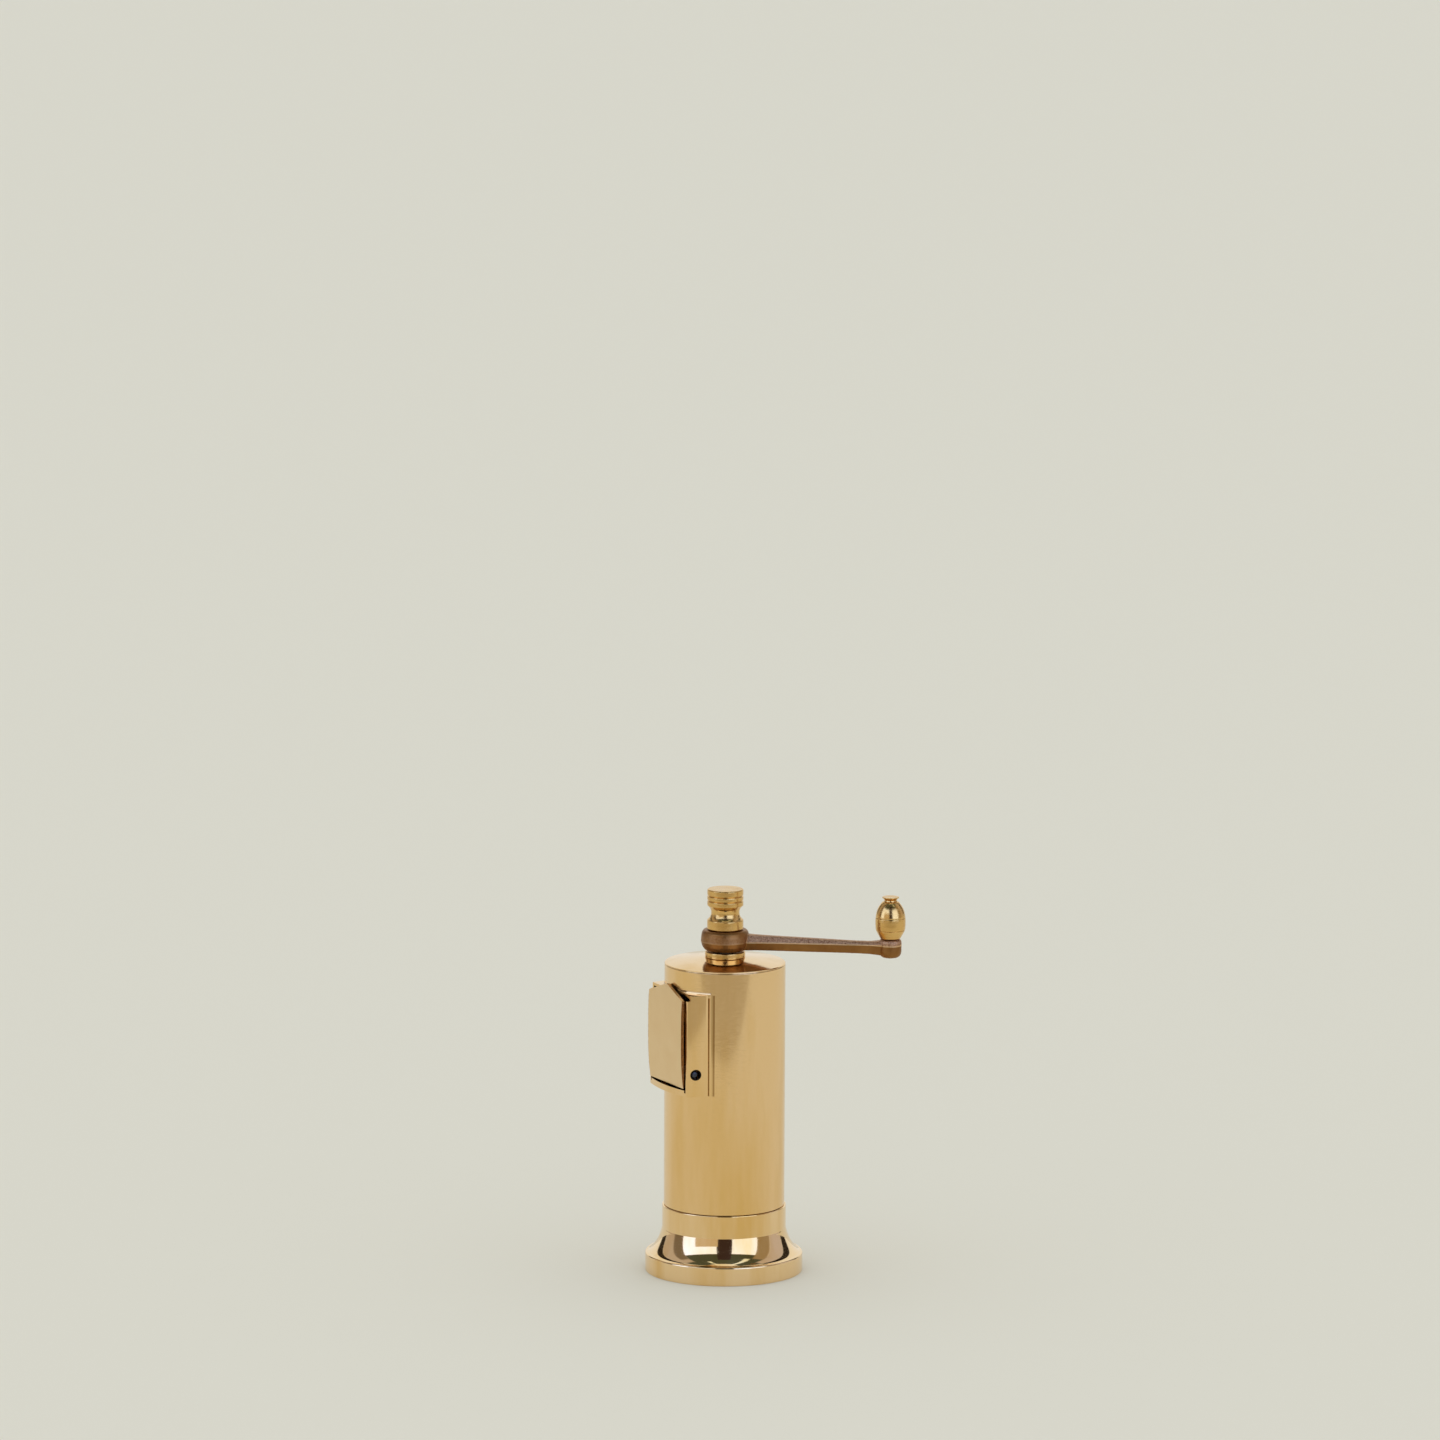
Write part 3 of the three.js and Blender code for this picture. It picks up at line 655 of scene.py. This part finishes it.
def makeHousing():
    half, front, wall = door["half"], door["front"], door["wall"]
    reach = front - door["creaseAt"]
    cheek = [(cheekAt(reach * i / 10), -front + reach * i / 10) for i in range(11)]
    lip = [(half * t / 10, -front - door["lip"] * (1 - (t / 10) ** 2)) for t in range(-9, 10)]
    right = cheek + door["solder"] + [(16.0, -12.0)]
    outline = lip + right + [(-x, y) for x, y in reversed(right)]
    piece = addPlan("doorBox", outline, door["bottom"], door["top"])
    # a thin run of solder also climbs the tube above the box
    outline = [(20, 104), (22.1, 104), (22.08, 105.3), (21.8, 106.0), (20, 106.0), (20, 104)]
    bead = turnPiece("solderBead", outline, size=0.1)
    cutWith(bead, addBlock("keep", (-16.6, -30, 100), (16.6, -13.6, 110)), "INTERSECT")
    cutWith(piece, bead, "UNION")
    inside = [(half - wall, -door["ridge"])] + [(x - wall, y) for x, y in cheek] + [(door["back"] - wall, 0)]
    hollow = inside + [(-x, y) for x, y in reversed(inside)]
    cutWith(piece, addPlan("hollow", hollow, door["bottom"] + door["shelf"], door["top"] - wall))
    mouth = half - wall - 0.01
    low = (-mouth, -40, door["bottom"] + door["ridgeTop"])
    high = (mouth, -door["ridge"] + 0.1, door["top"] - wall)
    cutWith(piece, addBlock("mouth", low, high))
    low, high = (-half - 0.6, -40, door["top"] - 1.9), (half + 0.6, -front + 1, door["top"] + 2)
    cutWith(piece, addBlock("lintelCut", low, high))
    cutWith(piece, addRod("tubeSpace", tube["radius"] + 0.01, (0, 0, 60), (0, 0, 115), sides=160))
    pinY, pinZ = -door["pinDepth"], door["pinHeight"]
    cutWith(piece, addRod("pinHole", door["pinRadius"] + 0.05, (-20, pinY, pinZ), (20, pinY, pinZ)))
    outer = cheekAt(front - door["pinDepth"])
    for side in (-1, 1):
        start, end = (side * (outer - 0.85), pinY, pinZ), (side * (outer + 1), pinY, pinZ)
        cutWith(piece, addRod("sink", door["holeRadius"], start, end))
        nick = (side * (outer + 0.2), pinY - 2.3, pinZ - 0.1)
        cutWith(piece, addRod("nick", 0.5, (nick[0] - side * 0.5, *nick[1:]), nick, sides=3, radius2=0.7))
    applyModifier(piece, "BEVEL", {"width": 0.12 * mm, "segments": 2, "limit_method": "ANGLE",
                                   "angle_limit": math.radians(50)})
    smooth(piece)
    applyModifier(piece, "WEIGHTED_NORMAL", {"keep_sharp": True})
    finish = polishedBrass("buffedBrassBox", mirror=0.08, haze=0.13, ringWave=0, solderDirtAndHoleShade=True)
    dress(piece, "mill_body", "polished_brass", finish, "door_housing")
    pin = addRod("doorPin", door["pinRadius"], (-outer + 0.5, pinY, pinZ), (outer - 0.5, pinY, pinZ))
    applyModifier(pin, "BEVEL", {"width": 0.8 * mm, "segments": 6, "limit_method": "ANGLE"})
    smooth(pin)
    dress(pin, "mill_body", "steel", plainMetal("greySteelPin", "55565a", "303236", 0.35, 0.8), "door_pin")


def bowAt(z):
    # how far forward the flap's face stands at a height, in mm
    return -door["edge"] - door["bulge"] * (1 - abs((z - 90) / (90 - door["flapBottom"])) ** 3)


def makeFlap():
    w, bottom, peak = door["flapHalf"], door["flapBottom"], door["peak"]
    columns, rows = 48, 72
    bpy.ops.object.select_all(action="DESELECT")
    bpy.ops.mesh.primitive_grid_add(
        x_subdivisions=columns, y_subdivisions=rows, size=1, location=(0, 0, (bottom + peak) / 2 * mm),
        rotation=(math.pi / 2, 0, 0),
    )
    piece = bpy.context.object
    piece.name = "bowedFlap"
    piece.scale = (2 * w * mm, (peak - bottom) * mm, 1)
    settle(piece)
    editStart(piece)
    for side in (-1, 1):
        normal = Vector((side * (peak - door["shoulder"]), 0, w)).normalized()
        bpy.ops.mesh.select_all(action="SELECT")
        bpy.ops.mesh.bisect(plane_co=(0, 0, peak * mm), plane_no=normal, clear_outer=True)
    editEnd()
    for vertex in piece.data.vertices:
        vertex.co.y = bowAt(vertex.co.z / mm) * mm
        if abs(abs(vertex.co.x) - w * mm) < 1e-5:
            vertex.co.x += random.uniform(-0.12, 0.0) * mm * math.copysign(1, vertex.co.x)
    applyModifier(piece, "SOLIDIFY", {"thickness": door["thick"] * mm, "offset": -1})
    editStart(piece)
    bpy.ops.mesh.normals_make_consistent(inside=False)
    editEnd()
    pinY, pinZ = -door["pinDepth"], door["pinHeight"]
    for side in (-1, 1):
        a, b = side * w, side * (w - door["thick"])
        ear = addRod("ear", 3.2, (a * 0.99, pinY, pinZ), (b, pinY, pinZ))
        low, high = sorted((a * 0.99, b))
        cutWith(ear, addBlock("web", (low, bowAt(72) + 0.5, 72), (high, pinY + 1.0, 79.2)), "UNION")
        cutWith(piece, ear, "UNION")
    cutWith(piece, addRod("pinHole", door["pinRadius"] + 0.05, (-20, pinY, pinZ), (20, pinY, pinZ)))
    smooth(piece, 40)
    dress(piece, "door", "satin_brass", satinBrass("satinBrassFlap", "f0d3a6", "e8c693", 0.3, w), "door_flap")


crank = {
    "angle": 53.5,  # degrees from the X axis
    "length": 60.0,
    "hub": [
        (0, 117.75), (7.0, 117.75), (7.6, 118.2), (8.35, 119.4), (8.7, 120.8), (8.8, 121.1), (8.7, 121.4),
        (8.6, 123.0), (8.3, 124.4), (7.7, 125.15), (0, 125.15),
    ],
    # distance, half width at the parting line and on top, heights of the bottom, the parting line and the top
    "stations": [
        (3, 3.7, 2.5, 118.1, 121.0, 123.8), (8.2, 3.0, 1.8, 118.1, 121.0, 123.6),
        (12, 2.5, 1.3, 118.2, 121.0, 123.45), (18, 2.25, 1.1, 118.2, 121.05, 123.3),
        (48, 1.85, 0.95, 118.3, 121.35, 122.55), (53, 2.1, 1.2, 118.2, 121.5, 122.55),
        (56, 2.7, 1.6, 118.0, 122.0, 122.9), (60, 3.3, 2.0, 117.8, 122.6, 123.3),
    ],
    "boss": [
        (0, 117.0), (2.6, 117.0), (3.4, 117.5), (3.9, 118.4), (4.05, 119.6), (4.05, 122.4), (3.9, 123.2),
        (3.5, 123.55), (0, 123.55),
    ],
    "squareHalf": 2.7, "pinHole": 1.7,
    "gritSize": 0.55, "gritDepth": 0.09,  # the sand's print in the casting
}


def makeArm():
    hub = turnPiece("castArm", crank["hub"], size=0.3, steps=96)
    bpy.ops.object.select_all(action="DESELECT")
    bpy.ops.mesh.primitive_circle_add(vertices=10, fill_type="NGON", radius=mm, rotation=(0, math.pi / 2, 0))
    bar = bpy.context.object
    settle(bar)
    editStart(bar)
    for _ in crank["stations"][1:]:
        bpy.ops.mesh.extrude_region_move(TRANSFORM_OT_translate={"value": (mm, 0, 0)})
    editEnd()
    rings = {}
    for vertex in bar.data.vertices:
        rings.setdefault(round(vertex.co.x / mm), []).append(vertex)
    for index, (x, belly, crest, bottom, seam, top) in enumerate(crank["stations"]):
        section = [
            (-crest, top), (-(crest + belly) / 2, (top + seam) / 2 + 0.1), (-belly, seam),
            (-belly, seam - 0.25), (-belly * 0.84, bottom), (belly * 0.84, bottom), (belly, seam - 0.25),
            (belly, seam), ((crest + belly) / 2, (top + seam) / 2 + 0.1), (crest, top),
        ]
        ring = sorted(rings[index], key=lambda v: math.atan2(v.co.y, v.co.z))
        for vertex, (y, z) in zip(ring, sorted(section, key=lambda p: math.atan2(p[0], p[1] - 121))):
            vertex.co = Vector((x, y, z)) * mm
    editStart(bar)
    bpy.ops.mesh.normals_make_consistent(inside=False)
    editEnd()
    boss = turnPiece("boss", crank["boss"], size=0.3, steps=64, at=(crank["length"], 0))
    cutWith(hub, bar, "UNION")
    cutWith(hub, boss, "UNION")
    applyModifier(hub, "REMESH", {"mode": "VOXEL", "voxel_size": 0.17 * mm, "use_smooth_shade": True})
    applyModifier(hub, "SMOOTH", {"factor": 0.5, "iterations": 2})
    grit = bpy.data.textures.new("castGrit", "CLOUDS")
    grit.noise_scale = crank["gritSize"] * mm
    grit.noise_depth = 2
    applyModifier(hub, "DISPLACE", {"texture": grit, "strength": crank["gritDepth"] * mm, "mid_level": 0.5,
                                    "texture_coords": "LOCAL"})
    side = crank["squareHalf"]
    cutWith(hub, addBlock("squareHole", (-side, -side, 110), (side, side, 130)))
    cutWith(hub, addRod("pinHole", crank["pinHole"], (crank["length"], 0, 110), (crank["length"], 0, 130)))
    turnWithCrank(hub)
    onlySelect(hub)
    bpy.ops.object.shade_smooth_by_angle(angle=math.radians(60))
    dress(hub, "crank", "cast_bronze", castBronze("sandCastBronze"), "crank_arm")


def turnWithCrank(piece):
    piece.rotation_euler = (0, 0, math.radians(crank["angle"]))
    settle(piece)


nut = {
    "collar": [(0, 133.8), (2.35, 133.8), (2.35, 125.3), (6.3, 125.3), (6.53, 125.6), (6.53, 128.35)],
    "waist": arcPoints((8.3, 131.4), (3.2, 3.2), 236, 124, 14),
    "head": [
        (6.5, 135.0), (6.5, 135.55), (6.12, 135.85), (6.5, 136.15), (6.5, 137.35), (6.12, 137.65),
        (6.5, 137.95), (6.5, 139.7), (6.2, 140.0), (0, 140.0),
    ],
}


def makeNut():
    outline = nut["collar"] + nut["waist"] + nut["head"]
    piece = turnPiece("turnedNut", outline, size=0.12, steps=128)
    dress(piece, "crank", "turned_brass", turnedBrass("turnedBrassNut"), "cap_nut")


knob = {
    "barrel": [
        (1.65, 123.75), (3.3, 123.75), (3.7, 124.1), (4.3, 125.2), (4.9, 126.3), (5.2, 126.95),
        (5.05, 127.08), (5.3, 127.25), (5.4, 128.6), (5.45, 130.3), (5.4, 131.4), (5.22, 131.6),
        (5.34, 131.8), (5.2, 132.7), (4.95, 133.8), (4.55, 134.9), (4.05, 135.8), (3.4, 136.7),
        (2.95, 137.2), (2.6, 137.42), (1.65, 137.42), (1.65, 123.75),
    ],
    "pin": [
        (0, 117.3), (1.5, 117.3), (1.5, 137.45), (2.35, 137.45), (2.15, 137.9), (2.55, 138.4), (3.05, 138.75),
        (3.08, 139.0), (2.8, 139.1), (0, 138.95),
    ],
}


def makeKnob():
    angle = math.radians(crank["angle"])
    spot = (crank["length"] * math.cos(angle), crank["length"] * math.sin(angle))
    piece = turnPiece("barrelKnob", knob["barrel"], size=0.08, steps=96, at=spot)
    dress(piece, "knob", "turned_brass", turnedBrass("turnedBrassKnob", spot), "knob")
    pin = turnPiece("peenedPin", knob["pin"], size=0.15, steps=64, at=spot)
    dress(pin, "crank", "turned_brass", turnedBrass("turnedBrassPin", spot), "knob_pin")


def finishInside():
    steel = plainMetal("plainSteel", "a9abad", "7b7d80", 0.3, 1.5)
    iron = plainMetal("burrIron", "6a6967", "3a3936", 0.45, 0.6)
    sheet = satinBrass("rolledBrassStrip", "ecca86", "cf9f52", 0.33)
    turned = turnedBrass("turnedBrassScrew")
    finishes = {
        "drive_shaft": steel, "burr_nut": steel, "spring_washer": steel, "burr_spring": steel,
        "thrust_ball": steel, "strap_screw_left": steel, "strap_screw_right": steel,
        "bridge_screw_left": steel, "bridge_screw_right": steel, "outer_burr": iron, "inner_burr": iron,
        "shaft_strap": sheet, "lower_bridge": sheet, "thumb_screw": turned,
    }
    for name, material in finishes.items():
        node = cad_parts[name]
        for slot in node.material_slots:
            slot.material = material


makeCamera()
makeStudio()
print("studio ready")
makeFoot()
makeTube()
makeCap()
makeNeck()
print("body ready")
makeHousing()
makeFlap()
print("door ready")
makeArm()
makeNut()
makeKnob()
print("crank ready")
finishInside()
